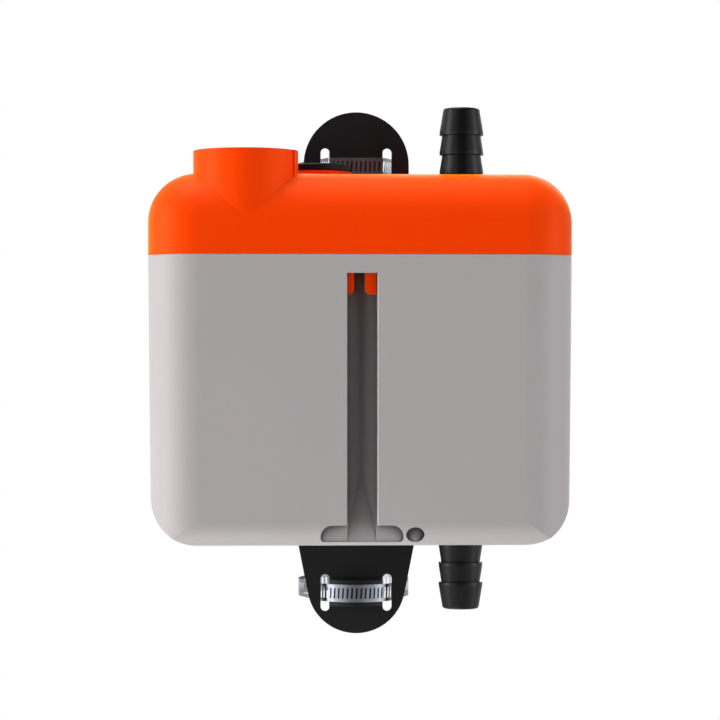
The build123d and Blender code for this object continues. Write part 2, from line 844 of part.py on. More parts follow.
# The tube that carries the shaft's bush from the deck down to the pump
def buildColumn():
    column = tube(column_r, column_bore_r, volute_top_z, deck_bottom_z, pump_x, pump_y)
    column += tube(column_foot_r, column_bore_r, deck_bottom_z - deck_t, deck_bottom_z, pump_x, pump_y)
    port = barAlongY(
        shaft_r,
        pump_y - 2 * column_r,
        pump_y + 2 * column_r,
        pump_x,
        deck_bottom_z - column_port_drop,
    )
    return column - port


# The pump case, open below, with a straight duct to the boss that the riser stands in
def buildVolute():
    boss_r = outlet_r + outlet_boss_t
    duct_y = (outlet_y + pump_y) / 2
    outline = Pos(pump_x, pump_y) * Circle(volute_r)
    outline += Pos(riser_x, duct_y) * Rectangle(2 * outlet_r, pump_y - outlet_y)
    outline += Pos(riser_x, outlet_y) * Circle(boss_r)
    case = layer(outline, volute_bottom_z, volute_top_z)
    case += rod(
        boss_r - outlet_inset,
        volute_top_z - volute_wall,
        riser_foot_z + outlet_r,
        riser_x,
        outlet_y,
    )
    case -= rod(volute_r - volute_wall, volute_bottom_z - over, volute_top_z - volute_wall, pump_x, pump_y)
    case -= rod(column_bore_r, volute_bottom_z, volute_top_z + over, pump_x, pump_y)
    duct = Pos(riser_x, duct_y) * Rectangle(2 * duct_r, pump_y - outlet_y)
    case -= layer(duct, volute_bottom_z + volute_wall, volute_top_z - volute_wall)
    case -= rod(outlet_bore_r, volute_bottom_z + volute_wall, riser_foot_z + over, riser_x, outlet_y)
    return case - rod(outlet_r, riser_foot_z, top_z, riser_x, outlet_y)


def buildImpeller():
    base_z = volute_bottom_z + (volute_h - volute_wall - impeller_h) / 2
    top = base_z + impeller_h
    wheel = rod(impeller_r, top - impeller_disc_t, top, pump_x, pump_y)
    wheel += rod(impeller_hub_r, base_z, top, pump_x, pump_y)
    reach = impeller_r / (2 * sin(radians(vane_sweep / 2)))
    vane_line = RadiusArc((0, 0), (impeller_r - vane_t / 2, 0), -reach)
    vane = layer(Pos(pump_x, pump_y) * trace(vane_line, vane_t), base_z, top - impeller_disc_t / 2)
    for blade in spread(vane, vane_count, pump_x, pump_y):
        wheel += blade
    return wheel - rod(shaft_r, base_z - over, top + over, pump_x, pump_y)


def buildGrille():
    low_z = volute_bottom_z - grille_h
    radius = volute_r - volute_wall
    grille = rod(radius + grille_t, low_z, volute_bottom_z, pump_x, pump_y)
    grille -= rod(radius, low_z + grille_t, volute_bottom_z + over, pump_x, pump_y)
    slot = block(
        (pump_x + impeller_hub_r, pump_x + radius - grille_t),
        (pump_y - grille_t / 2, pump_y + grille_t / 2),
        (low_z - over, low_z + 2 * grille_t),
    )
    for cut in spread(slot, grille_slot_count, pump_x, pump_y):
        grille -= cut
    return grille


# The riser from the volute's elbow up through the deck into the check valve
def buildRiser():
    return tube(outlet_r, outlet_bore_r, riser_foot_z, deck_top_z, riser_x, outlet_y)


# The check valve: an oblong foot over the riser and a round cage under the upper barb
def buildValveBody():
    foot_r = outlet_r + valve_foot_t
    riser_end = Pos(riser_x, outlet_y) * Circle(foot_r)
    barb_end = Pos(barb_x, upper_barb_y) * Circle(foot_r)
    foot_outline = make_hull(riser_end.edges() + barb_end.edges())
    body = layer(foot_outline, deck_top_z, seat_z)
    body += rod(valve_r, deck_top_z, valve_top_z, barb_x, upper_barb_y)
    body -= rod(outlet_bore_r, deck_top_z - over, seat_z - valve_wall_floor, riser_x, outlet_y)
    passage_z = deck_top_z + valve_base_h / 2
    along = hypot(barb_x - riser_x, upper_barb_y - outlet_y)
    turn = degrees(atan2(upper_barb_y - outlet_y, barb_x - riser_x))
    passage = Pos(riser_x, outlet_y) * Rot(0, 0, turn) * barAlongX(passage_r, 0, along, 0, passage_z)
    body -= passage
    body -= rod(seat_bore_r, passage_z, seat_z + over, barb_x, upper_barb_y)
    body -= rod(cage_bore_r, seat_z, valve_top_z, barb_x, upper_barb_y)
    spigot_end = ceiling_z - washer_t - barb_flange_t - spigot_l
    return body - rod(
        spigot_r + barb_hole_fit,
        spigot_end - spigot_end_gap,
        valve_top_z + over,
        barb_x,
        upper_barb_y,
    )


# Height of the ball's centre when it rests on the rim of its seat
def ballRestZ():
    return seat_z + (ball_r**2 - seat_bore_r**2) ** 0.5 + ball_fit


def buildStandpipe():
    outer = standpipe_bore_r + standpipe_wall
    low_z = floor_z + washer_t + barb_flange_t
    return tube(outer, standpipe_bore_r, low_z, standpipe_top_z, barb_x, lower_barb_y)


def buildFloatStem():
    stem = rod(stem_r, stem_end_z, deck_top_z, float_x, float_y)
    stem += rod(stem_head_r, deck_top_z, deck_top_z + stem_head_h, float_x, float_y)
    for z in clipHeights():
        stem -= tube(stem_r + over, stem_r - clip_t / 2, z - clip_t / 2, z + clip_t / 2, float_x, float_y)
    return stem


# Snap rings below and above each float's travel
def clipHeights():
    gap = clip_gap + clip_t / 2
    return [
        run_float_z - gap,
        run_float_z + run_float_h + run_float_travel + gap,
        alarm_float_z - gap,
        alarm_float_z + alarm_float_h + alarm_float_travel + gap,
    ]


def buildClips():
    clips = []
    for z in clipHeights():
        clip = tube(clip_r, stem_r - clip_t / 2, z - clip_t / 2, z + clip_t / 2, float_x, float_y)
        mouth = block(
            (float_x, float_x + 2 * clip_r),
            (float_y - clip_mouth / 2, float_y + clip_mouth / 2),
            (z - clip_t, z + clip_t),
        )
        clips += (clip - mouth).solids()
    return Compound(children=clips)


def buildFloat(z, height):
    body = tube(float_r, float_bore_r, z, z + height, float_x, float_y)
    return fillet(body.edges().filter_by(GeomType.CIRCLE).sort_by(SortBy.RADIUS)[-2:], clip_t)


def buildMotorCan():
    can = rod(motor_r, motor_bottom_z, motor_top_z, pump_x, pump_y)
    can -= rod(motor_r - motor_can_t, motor_bottom_z + motor_can_t, motor_top_z + over, pump_x, pump_y)
    return can - rod(bearing_r, motor_bottom_z - over, motor_top_z, pump_x, pump_y)


def buildEndBell():
    bell = rod(motor_r, motor_top_z, motor_top_z + end_bell_h, pump_x, pump_y)
    bell = fillet(bell.edges().filter_by(GeomType.CIRCLE).group_by(Axis.Z)[-1], clip_t)
    return bell - rod(bearing_r, motor_top_z - over, motor_top_z + end_bell_h + over, pump_x, pump_y)


def buildMagnets():
    outer = motor_r - motor_can_t
    middle = (motor_bottom_z + motor_top_z) / 2
    magnets = tube(
        outer, outer - magnet_t, middle - armature_h / 2, middle + armature_h / 2, pump_x, pump_y
    )
    gap = block(
        (pump_x - motor_r, pump_x + motor_r),
        (pump_y - magnet_t, pump_y + magnet_t),
        (bottom_z, top_z),
    )
    return magnets - gap


def buildArmature():
    middle = (motor_bottom_z + motor_top_z) / 2
    core = tube(armature_r, shaft_r, middle - armature_h / 2, middle + armature_h / 2, pump_x, pump_y)
    slot = block(
        (pump_x + armature_core_r, pump_x + 2 * armature_r),
        (pump_y - armature_slot_w / 2, pump_y + armature_slot_w / 2),
        (bottom_z, top_z),
    )
    for cut in spread(slot, armature_slots, pump_x, pump_y):
        core -= cut
    return core


def buildShaft():
    low_z = volute_bottom_z + (volute_h - volute_wall - impeller_h) / 2 - shaft_r / 2
    return rod(shaft_r, low_z, motor_top_z + end_bell_h + shaft_r / 2, pump_x, pump_y)


# A plain bearing round the shaft
def bearingAt(outer, z_low, z_high):
    return tube(outer, shaft_r + shaft_fit, z_low, z_high, pump_x, pump_y)


def buildBoard():
    half_w, half_l = board_w / 2, board_l / 2
    board = block(
        (board_x - half_w, board_x + half_w),
        (board_y - half_l, board_y + half_l),
        (board_z, board_z + board_t),
    )
    return board


def buildTerminals():
    x = board_x
    y = board_y + board_l / 2 - terminal_w
    low_z = board_z + board_t
    block_body = block(
        (x - terminal_l / 2, x + terminal_l / 2),
        (y - terminal_w / 2, y + terminal_w / 2),
        (low_z, low_z + terminal_h),
    )
    pitch = terminal_l / terminal_ways
    for way in range(terminal_ways):
        way_x = x - terminal_l / 2 + (way + 0.5) * pitch
        block_body -= rod(terminal_hole_r, low_z + terminal_h / 2, low_z + terminal_h + over, way_x, y)
        block_body -= block(
            (way_x - terminal_mouth_w / 2, way_x + terminal_mouth_w / 2),
            (y, y + terminal_w),
            (low_z + board_t, low_z + terminal_h / 3),
        )
    return block_body


def buildRelay():
    low_z = board_z + board_t
    relay = block(
        (board_x - relay_l / 2, board_x + relay_l / 2),
        (relay_y - relay_w / 2, relay_y + relay_w / 2),
        (low_z, low_z + relay_h),
    )
    return fillet(relay.edges().filter_by(Axis.Z), clip_t)


def buildCapacitor():
    low_z = board_z + board_t
    x = board_x + board_w / 4
    y = relay_y + relay_w / 2 + capacitor_r + clip_gap
    can = rod(capacitor_r, low_z, low_z + capacitor_h, x, y)
    return fillet(can.edges().filter_by(GeomType.CIRCLE).group_by(Axis.Z)[-1], clip_t / 2)


# A pan-headed screw standing with its head's underside at one height
def screwAt(radius, length, head_r, head_h, x, y, seat):
    screw = rod(radius, seat - length, seat, x, y) + rod(head_r, seat, seat + head_h, x, y)
    for turn in (0, 90):
        cross = Pos(x, y, seat + head_h / 2) * Rot(0, 0, turn) * Box(
            2 * radius, radius / 2, head_h, align=low
        )
        screw -= cross
    return screw


def pair(build):
    return Compound(children=[solid for side in (-1, 1) for solid in build(side).solids()])


def coverScrew(side):
    seat = top_z - cover_screw_sink
    return screwAt(
        cover_screw_r,
        cover_screw_l,
        cover_screw_head_r,
        cover_screw_head_h,
        side * cover_screw_x,
        cover_screw_y,
        seat,
    )


def deckScrew(side):
    return screwAt(
        deck_screw_r,
        deck_screw_l,
        deck_screw_head_r,
        deck_screw_head_h,
        side * deck_screw_x,
        middle_y,
        deck_top_z,
    )


def buildGrommet():
    grommet = barAlongY(
        grommet_r - grommet_groove_fit,
        back_y - wall - grommet_lip_t,
        back_y + grommet_lip_t,
        grommet_x,
        grommet_z,
    )
    grommet += barAlongY(grommet_lip_r, back_y, back_y + grommet_lip_t, grommet_x, grommet_z)
    grommet += barAlongY(grommet_lip_r, back_y - wall - grommet_lip_t, back_y - wall, grommet_x, grommet_z)
    return grommet - barAlongY(
        grommet_bore_r,
        back_y - wall - 2 * grommet_lip_t,
        back_y + 2 * grommet_lip_t,
        grommet_x,
        grommet_z,
    )


def buildGasket():
    gasket = plateForm(wall + deck_fit, deck_top_z, gasket_top_z) - plateForm(
        wall + deck_fit + gasket_w, bottom_z, top_z
    )
    return gasket - grooveCore(deck_fit)


os.makedirs("parts", exist_ok=True)
keep("bracket", buildBracket())
for place, z in (("upper", upper_band_z), ("lower", lower_band_z)):
    keep(f"{place}_pad", buildPad(z))
    keep(f"{place}_clamp_band", buildBand(z))
    keep(f"{place}_worm_case", buildWormCase(z))
    keep(f"{place}_clamp_screw", buildWormScrew(z))
keep("tank", buildTank())
keep("cover", buildCover())
keep("cover_gasket", buildGasket())
keep("deck", buildDeck())
keep("cover_screws", pair(coverScrew))
keep("deck_screws", pair(deckScrew))
keep("inlet_strainer", buildStrainer())
keep("inlet_seal", buildSeal())
keep("vent_cap", buildVentCap())
keep("vent_cap_ring", capRingTorus(0))
keep("upper_barb", upward(barbForm()))
keep("upper_barb_washer", upward(barbWasher()))
keep("lower_barb", downward(barbForm()))
keep("lower_barb_washer", downward(barbWasher()))
keep("overflow_standpipe", buildStandpipe())
keep("pump_column", buildColumn())
keep("volute", buildVolute())
keep("suction_grille", buildGrille())
keep("impeller", buildImpeller())
keep("motor_shaft", buildShaft())
keep("armature", buildArmature())
keep("motor_can", buildMotorCan())
keep("motor_magnets", buildMagnets())
keep("motor_end_bell", buildEndBell())
keep("upper_bearing", bearingAt(bearing_r, motor_top_z, motor_top_z + bearing_h))
keep("lower_bearing", bearingAt(bearing_r, motor_bottom_z - bearing_h / 4, motor_bottom_z + bearing_h))
keep("column_bush", bearingAt(column_bore_r, volute_top_z - volute_wall, volute_top_z + bush_l))
keep("riser_pipe", buildRiser())
keep("check_valve_body", buildValveBody())
keep("check_valve_ball", Pos(barb_x, upper_barb_y, ballRestZ()) * Sphere(ball_r))
keep("float_stem", buildFloatStem())
keep("float_clips", buildClips())
keep("run_float", buildFloat(run_float_z, run_float_h))
keep("alarm_float", buildFloat(alarm_float_z, alarm_float_h))
keep("circuit_board", buildBoard())
keep("terminal_block", buildTerminals())
keep("relay", buildRelay())
keep("capacitor", buildCapacitor())
keep("cable_grommet", buildGrommet())
print(len(written), "nodes written")
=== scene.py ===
import json
import math

import bmesh
import bpy
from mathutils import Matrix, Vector


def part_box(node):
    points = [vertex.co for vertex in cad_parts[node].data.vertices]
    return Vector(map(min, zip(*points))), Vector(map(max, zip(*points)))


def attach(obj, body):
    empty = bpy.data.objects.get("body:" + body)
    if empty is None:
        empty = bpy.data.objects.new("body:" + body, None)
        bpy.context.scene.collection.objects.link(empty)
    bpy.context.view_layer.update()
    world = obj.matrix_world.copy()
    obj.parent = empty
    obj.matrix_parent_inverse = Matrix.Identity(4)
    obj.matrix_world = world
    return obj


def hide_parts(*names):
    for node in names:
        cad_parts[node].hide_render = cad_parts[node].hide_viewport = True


# A condensate pump on its pipe bracket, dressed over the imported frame.
# Metres throughout, except where a name ends in Mm.

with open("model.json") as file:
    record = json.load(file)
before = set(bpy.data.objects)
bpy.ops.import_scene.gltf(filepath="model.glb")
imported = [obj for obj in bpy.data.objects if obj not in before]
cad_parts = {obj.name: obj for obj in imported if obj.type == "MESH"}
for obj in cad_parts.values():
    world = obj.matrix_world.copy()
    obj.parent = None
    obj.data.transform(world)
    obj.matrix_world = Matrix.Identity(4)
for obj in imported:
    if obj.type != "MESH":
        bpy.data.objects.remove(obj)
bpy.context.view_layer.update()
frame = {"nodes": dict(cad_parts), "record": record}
nodes = frame["nodes"]
print("frame loaded with", len(nodes), "parts")

mmPerMetre = 1000
# a Mix node tells its sockets apart by number only: these are the ones that blend colours
mixFactor, mixFrom, mixTo, mixResult = 0, 6, 7, 2
# nearly every value of a noise pattern lies between these two
noiseLow, noiseHigh = 0.3, 0.7
cloudDetail = 3.0  # the plastics' clouds are a little more broken up than the finer patterns


# an sRGB hex colour on the renderer's linear scale, opaque
def toLinear(hexColour):
    channels = [int(hexColour[i : i + 2], 16) / 255 for i in (1, 3, 5)]
    return [c / 12.92 if c <= 0.04045 else ((c + 0.055) / 1.055) ** 2.4 for c in channels] + [1.0]


# adds one node with its settings and its incoming links
def addNode(tree, kind, settings=None, links=None):
    node = tree.nodes.new(kind)
    for key, value in (settings or {}).items():
        if isinstance(key, int) or key in node.inputs:
            node.inputs[key].default_value = value
        else:
            setattr(node, key, value)
    for key, socket in (links or {}).items():
        tree.links.new(socket, node.inputs[key])
    return node


def startMaterial(name):
    material = bpy.data.materials.new(name)
    material.use_nodes = True
    material.node_tree.nodes.clear()
    return material, material.node_tree


def finishSurface(tree, settings, links):
    surface = addNode(tree, "ShaderNodeBsdfPrincipled", settings, links)
    addNode(tree, "ShaderNodeOutputMaterial", links={"Surface": surface.outputs["BSDF"]})


# the painted shade is full where less than the first share of a spot's surroundings is open,
# and gone where more than the second is
recessTest = {"shadedBelow": 0.35, "clearAbove": 0.85, "samples": 8}


# paints shade into a colour where the surface lies in a narrow recess, shaded by its own walls
def paintRecessShade(tree, colour, look):
    openness = addNode(
        tree,
        "ShaderNodeAmbientOcclusion",
        {
            "samples": recessTest["samples"],
            "only_local": True,
            "Distance": look["recessMm"] / mmPerMetre,
        },
    )
    share = addNode(
        tree,
        "ShaderNodeMapRange",
        {
            "From Min": recessTest["shadedBelow"],
            "From Max": recessTest["clearAbove"],
            "To Min": look["recessShade"],
        },
        {"Value": openness.outputs["AO"]},
    )
    shaded = addNode(
        tree,
        "ShaderNodeVectorMath",
        {"operation": "SCALE"},
        {"Vector": colour, "Scale": share.outputs["Result"]},
    )
    return shaded.outputs["Vector"]


# how far light passes into a milky plastic: about a millimetre, whatever its colour
milkyReach = {"Subsurface Radius": (0.002, 0.002, 0.002), "Subsurface Scale": 0.5}


# a moulded surface: two close shades clouded together, a fine mould grain and softened edges
def mouldedMaterial(name, look):
    material, tree = startMaterial(name)
    where = addNode(tree, "ShaderNodeTexCoord").outputs["Object"]
    cloud = addNode(
        tree,
        "ShaderNodeTexNoise",
        {"Scale": mmPerMetre / look["cloudMm"], "Detail": cloudDetail},
        {"Vector": where},
    )
    tone = addNode(
        tree,
        "ShaderNodeMix",
        {"data_type": "RGBA", mixFrom: toLinear(look["shade"]), mixTo: toLinear(look["colour"])},
        {mixFactor: cloud.outputs["Fac"]},
    )
    shown = tone.outputs[mixResult]
    # narrow recesses get painted shade in their colour
    if "recessMm" in look:
        shown = paintRecessShade(tree, shown, look)
    grain = addNode(
        tree,
        "ShaderNodeTexNoise",
        {"Scale": mmPerMetre / look["grainMm"]},
        {"Vector": where},
    )
    edge = addNode(tree, "ShaderNodeBevel", {"Radius": look["edgeMm"] / mmPerMetre})
    relief = addNode(
        tree,
        "ShaderNodeBump",
        {"Distance": look["grainDepthMm"] / mmPerMetre},
        {"Height": grain.outputs["Fac"], "Normal": edge.outputs["Normal"]},
    )
    smoothest, roughest = look["roughness"]
    polish = addNode(
        tree,
        "ShaderNodeMapRange",
        {"From Min": noiseLow, "From Max": noiseHigh, "To Min": smoothest, "To Max": roughest},
        {"Value": grain.outputs["Fac"]},
    )
    settings = {"Specular IOR Level": look["gloss"], "IOR": look["ior"]}
    if "glossTint" in look:
        settings["Specular Tint"] = toLinear(look["glossTint"])
    if "bloom" in look:
        settings["Sheen Weight"] = look["bloom"]
        settings["Sheen Roughness"] = look["bloomRoughness"]
        settings["Sheen Tint"] = toLinear(look["bloomTint"])
    if "glow" in look:
        settings["Subsurface Weight"] = look["glow"]
        settings.update(milkyReach)
    finishSurface(
        tree,
        settings,
        {
            "Base Color": shown,
            "Roughness": polish.outputs["Result"],
            "Normal": relief.outputs["Normal"],
        },
    )
    return material


# Each look is kept under the slot that it dresses. A real mould grain is too fine to show,
# so grainMm draws it several times coarser.
mouldedLooks = {
    # ABS, spark-eroded mould: an even satin grey that spreads the light with no hard glint;
    # recessMm and recessShade paint shade into its narrow recesses
    "grey_plastic": {
        "colour": "#B2ACAD", "shade": "#AEA8A9", "cloudMm": 45, "grainMm": 0.7,
        "grainDepthMm": 0.012, "edgeMm": 0.3, "roughness": (0.46, 0.54), "gloss": 0.2,
        "ior": 1.53, "recessMm": 22, "recessShade": 0.15,
    },
    # ABS, polished mould: saturated orange whose soft highlights stay warm
    "orange_plastic": {
        "colour": "#FF3E03", "shade": "#FF3B03", "cloudMm": 45, "grainMm": 0.8,
        "grainDepthMm": 0.006, "edgeMm": 0.3, "roughness": (0.46, 0.54), "gloss": 0.18,
        "ior": 1.53, "glossTint": "#FFB428", "bloom": 0.9, "bloomRoughness": 0.45,
        "bloomTint": "#FFAC14",
    },
    # glass-filled nylon with a fine mould texture: near black, edges catch a dull grey line
    "black_plastic": {
        "colour": "#0B0B0E", "shade": "#09090B", "cloudMm": 20, "grainMm": 0.5,
        "grainDepthMm": 0.02, "edgeMm": 0.35, "roughness": (0.5, 0.6), "gloss": 0.22,
        "ior": 1.5,
    },
    # polypropylene, smooth mould: black with a soft upright sheen down each barb
    "barb_plastic": {
        "colour": "#0B0B0E", "shade": "#09090B", "cloudMm": 15, "grainMm": 0.6,
        "grainDepthMm": 0.004, "edgeMm": 0.3, "roughness": (0.36, 0.42), "gloss": 0.2,
        "ior": 1.49,
    },
    # moulded natural rubber: matt, dusty black
    "black_rubber": {
        "colour": "#1B1B1C", "shade": "#151516", "cloudMm": 8, "grainMm": 0.4,
        "grainDepthMm": 0.02, "edgeMm": 0.3, "roughness": (0.75, 0.9), "gloss": 0.3,
        "ior": 1.52,
    },
    # nitrile sheet and rings: matt charcoal with hardly any shine
    "gasket_rubber": {
        "colour": "#262628", "shade": "#1D1D1F", "cloudMm": 6, "grainMm": 0.35,
        "grainDepthMm": 0.015, "edgeMm": 0.2, "roughness": (0.7, 0.85), "gloss": 0.3,
        "ior": 1.52,
    },
    # moulded polypropylene for what works inside: dull dark grey
    "dark_plastic": {
        "colour": "#3F4144", "shade": "#37393C", "cloudMm": 18, "grainMm": 0.5,
        "grainDepthMm": 0.012, "edgeMm": 0.3, "roughness": (0.48, 0.58), "gloss": 0.4,
        "ior": 1.49,
    },
    # natural polypropylene: milky, light passes a little way into it
    "strainer_plastic": {
        "colour": "#DAD8CF", "shade": "#CFCDC2", "cloudMm": 12, "grainMm": 0.6,
        "grainDepthMm": 0.006, "edgeMm": 0.25, "roughness": (0.4, 0.5), "gloss": 0.45,
        "ior": 1.49, "glow": 0.15,
    },
    # rigid PVC tube, extruded: white and smooth, with a soft shine
    "pipe_plastic": {
        "colour": "#DEDEDB", "shade": "#D2D2CF", "cloudMm": 25, "grainMm": 0.9,
        "grainDepthMm": 0.004, "edgeMm": 0.2, "roughness": (0.3, 0.38), "gloss": 0.5,
        "ior": 1.53,
    },
    # moulded nylon: waxy off-white
    "impeller_plastic": {
        "colour": "#CFCBBE", "shade": "#C3BEB0", "cloudMm": 9, "grainMm": 0.5,
        "grainDepthMm": 0.005, "edgeMm": 0.2, "roughness": (0.35, 0.45), "gloss": 0.5,
        "ior": 1.53, "glow": 0.2,
    },
    # polyamide terminal housing: glossy green
    "terminal_plastic": {
        "colour": "#1F7A4A", "shade": "#1A6C41", "cloudMm": 6, "grainMm": 0.4,
        "grainDepthMm": 0.004, "edgeMm": 0.2, "roughness": (0.3, 0.36), "gloss": 0.5,
        "ior": 1.53,
    },
    # polyester relay case: glossy blue
    "relay_plastic": {
        "colour": "#1F4C86", "shade": "#1A4278", "cloudMm": 7, "grainMm": 0.4,
        "grainDepthMm": 0.004, "edgeMm": 0.2, "roughness": (0.28, 0.34), "gloss": 0.5,
        "ior": 1.57,
    },
    # heat-shrunk sleeve: tight black film with soft ripples
    "capacitor_sleeve": {
        "colour": "#25252E", "shade": "#1D1D25", "cloudMm": 4, "grainMm": 1.6,
        "grainDepthMm": 0.03, "edgeMm": 0.2, "roughness": (0.25, 0.32), "gloss": 0.5,
        "ior": 1.54,
    },
    # moulded rubber ball: smooth, dull brown
    "ball_rubber": {
        "colour": "#5A2A20", "shade": "#4C231B", "cloudMm": 4, "grainMm": 0.4,
        "grainDepthMm": 0.006, "edgeMm": 0.2, "roughness": (0.5, 0.62), "gloss": 0.4,
        "ior": 1.52,
    },
    # sintered ferrite: dead matt charcoal with fine pores
    "ferrite": {
        "colour": "#3A3A3D", "shade": "#2E2E31", "cloudMm": 3, "grainMm": 0.3,
        "grainDepthMm": 0.03, "edgeMm": 0.25, "roughness": (0.7, 0.85), "gloss": 0.4,
        "ior": 1.6,
    },
}


# a worked metal: fine lines drawn along one axis, clouded by handling
def metalMaterial(name, look):
    material, tree = startMaterial(name)
    where = addNode(tree, "ShaderNodeTexCoord").outputs["Object"]
    stretch = addNode(tree, "ShaderNodeMapping", {"Scale": look["drawn"]}, {"Vector": where})
    lines = addNode(
        tree,
        "ShaderNodeTexNoise",
        {"Scale": mmPerMetre / look["lineMm"]},
        {"Vector": stretch.outputs["Vector"]},
    )
    cloud = addNode(
        tree,
        "ShaderNodeTexNoise",
        {"Scale": mmPerMetre / look["cloudMm"]},
        {"Vector": where},
    )
    tone = addNode(
        tree,
        "ShaderNodeMix",
        {"data_type": "RGBA", mixFrom: toLinear(look["shade"]), mixTo: toLinear(look["colour"])},
        {mixFactor: cloud.outputs["Fac"]},
    )
    edge = addNode(tree, "ShaderNodeBevel", {"Radius": look["edgeMm"] / mmPerMetre})
    relief = addNode(
        tree,
        "ShaderNodeBump",
        {"Distance": look["lineDepthMm"] / mmPerMetre},
        {"Height": lines.outputs["Fac"], "Normal": edge.outputs["Normal"]},
    )
    smoothest, roughest = look["roughness"]
    polish = addNode(
        tree,
        "ShaderNodeMapRange",
        {"From Min": noiseLow, "From Max": noiseHigh, "To Min": smoothest, "To Max": roughest},
        {"Value": lines.outputs["Fac"]},
    )
    finishSurface(
        tree,
        {"Metallic": 1.0},
        {
            "Base Color": tone.outputs[mixResult],
            "Roughness": polish.outputs["Result"],
            "Normal": relief.outputs["Normal"],
        },
    )
    return material


# drawn scales the pattern along each axis: the smaller, the longer its lines run that way.
# Real rolling and drawing lines are too fine to show, so lineMm draws them coarser.
metalLooks = {
    # stainless strip, rolled: cool grey with fine lines round the band
    "band_steel": {
        "colour": "#85898F", "shade": "#74787F", "cloudMm": 6, "lineMm": 0.35,
        "lineDepthMm": 0.006, "drawn": (0.15, 0.15, 1.0), "edgeMm": 0.12,
        "roughness": (0.36, 0.46),
    },
    # stainless sheet, pressed: smoother, a little warmer
    "case_steel": {
        "colour": "#B4B4B6", "shade": "#A4A4A7", "cloudMm": 5, "lineMm": 0.5,
        "lineDepthMm": 0.004, "drawn": (0.3, 1.0, 1.0), "edgeMm": 0.3,
        "roughness": (0.24, 0.34),
    },
    # zinc-plated steel: bluish, slightly cloudy
    "screw_steel": {
        "colour": "#B7BABF", "shade": "#9FA3AA", "cloudMm": 2.5, "lineMm": 0.4,
        "lineDepthMm": 0.004, "drawn": (1.0, 1.0, 0.4), "edgeMm": 0.15,
        "roughness": (0.28, 0.4),
    },
    # ground stainless bar: bright, with fine rings round it
    "shaft_steel": {
        "colour": "#C2C4C7", "shade": "#B6B8BC", "cloudMm": 8, "lineMm": 0.25,
        "lineDepthMm": 0.003, "drawn": (0.1, 0.1, 1.0), "edgeMm": 0.15,
        "roughness": (0.16, 0.24),
    },
    # stacked electrical steel: dark, ruled by the edges of its sheets
    "lamination_steel": {
        "colour": "#8C8C8C", "shade": "#6F6F70", "cloudMm": 5, "lineMm": 0.5,
        "lineDepthMm": 0.04, "drawn": (0.02, 0.02, 1.0), "edgeMm": 0.1,
        "roughness": (0.4, 0.55),
    },
    # drawn steel can, zinc-plated: satin with upright draw lines
    "can_steel": {
        "colour": "#AEB0B3", "shade": "#9A9CA0", "cloudMm": 10, "lineMm": 0.5,
        "lineDepthMm": 0.005, "drawn": (1.0, 1.0, 0.08), "edgeMm": 0.3,
        "roughness": (0.28, 0.38),
    },
    # sintered bronze: granular, brownish gold
    "bronze": {
        "colour": "#B98D52", "shade": "#9C7442", "cloudMm": 2, "lineMm": 0.3,
        "lineDepthMm": 0.01, "drawn": (1.0, 1.0, 1.0), "edgeMm": 0.15,
        "roughness": (0.4, 0.55),
    },
}

foamLook = {
    "colour": "#CFC9B6", "shade": "#B9B29C", "cellMm": 0.9, "cellDepthMm": 0.12,
    "roughness": 0.85, "gloss": 0.3,
}


# closed-cell foam, cut and skinned: chalky, pitted all over with small round cells
def foamMaterial(name, look):
    material, tree = startMaterial(name)
    where = addNode(tree, "ShaderNodeTexCoord").outputs["Object"]
    cells = addNode(
        tree,
        "ShaderNodeTexVoronoi",
        {"Scale": mmPerMetre / look["cellMm"]},
        {"Vector": where},
    )
    tone = addNode(
        tree,
        "ShaderNodeMix",
        {"data_type": "RGBA", mixFrom: toLinear(look["shade"]), mixTo: toLinear(look["colour"])},
        {mixFactor: cells.outputs["Distance"]},
    )
    relief = addNode(
        tree,
        "ShaderNodeBump",
        {"Distance": look["cellDepthMm"] / mmPerMetre},
        {"Height": cells.outputs["Distance"]},
    )
    finishSurface(
        tree,
        {"Roughness": look["roughness"], "Specular IOR Level": look["gloss"]},
        {"Base Color": tone.outputs[mixResult], "Normal": relief.outputs["Normal"]},
    )
    return material


# the tracks run round patches that are patchPitches long, and are trackShare of a pitch wide
boardLook = {
    "mask": "#1C5A34", "track": "#2C7A48", "pitchMm": 2.54, "patchPitches": 2.0,
    "trackShare": 0.12, "reliefMm": 0.04, "roughness": 0.35,
}


# glass-epoxy laminate under green solder mask: tracks show as paler, slightly raised lines
def boardMaterial(name, look):
    material, tree = startMaterial(name)
    where = addNode(tree, "ShaderNodeTexCoord").outputs["Object"]
    tracks = addNode(
        tree,
        "ShaderNodeTexBrick",
        {
            "Scale": mmPerMetre / look["pitchMm"],
            "Mortar Size": look["trackShare"],
            "Brick Width": look["patchPitches"],
        },
        {"Vector": where},
    )
    tone = addNode(
        tree,
        "ShaderNodeMix",
        {"data_type": "RGBA", mixFrom: toLinear(look["mask"]), mixTo: toLinear(look["track"])},
        {mixFactor: tracks.outputs["Fac"]},
    )
    relief = addNode(
        tree,
        "ShaderNodeBump",
        {"Distance": look["reliefMm"] / mmPerMetre},
        {"Height": tracks.outputs["Fac"]},
    )
    finishSurface(
        tree,
        {"Roughness": look["roughness"]},
        {"Base Color": tone.outputs[mixResult], "Normal": relief.outputs["Normal"]},
    )
    return material


finishes = {name: mouldedMaterial(name, look) for name, look in mouldedLooks.items()}
finishes.update({name: metalMaterial(name, look) for name, look in metalLooks.items()})
finishes["float_foam"] = foamMaterial("float_foam", foamLook)
finishes["board_laminate"] = boardMaterial("board_laminate", boardLook)

parts = frame["record"]["subparts"]
for part in parts:
    for materialSlot in nodes[part["node"]].material_slots:
        materialSlot.material = finishes[part["material_slot"]]
print("finishes given to", len(parts), "parts")


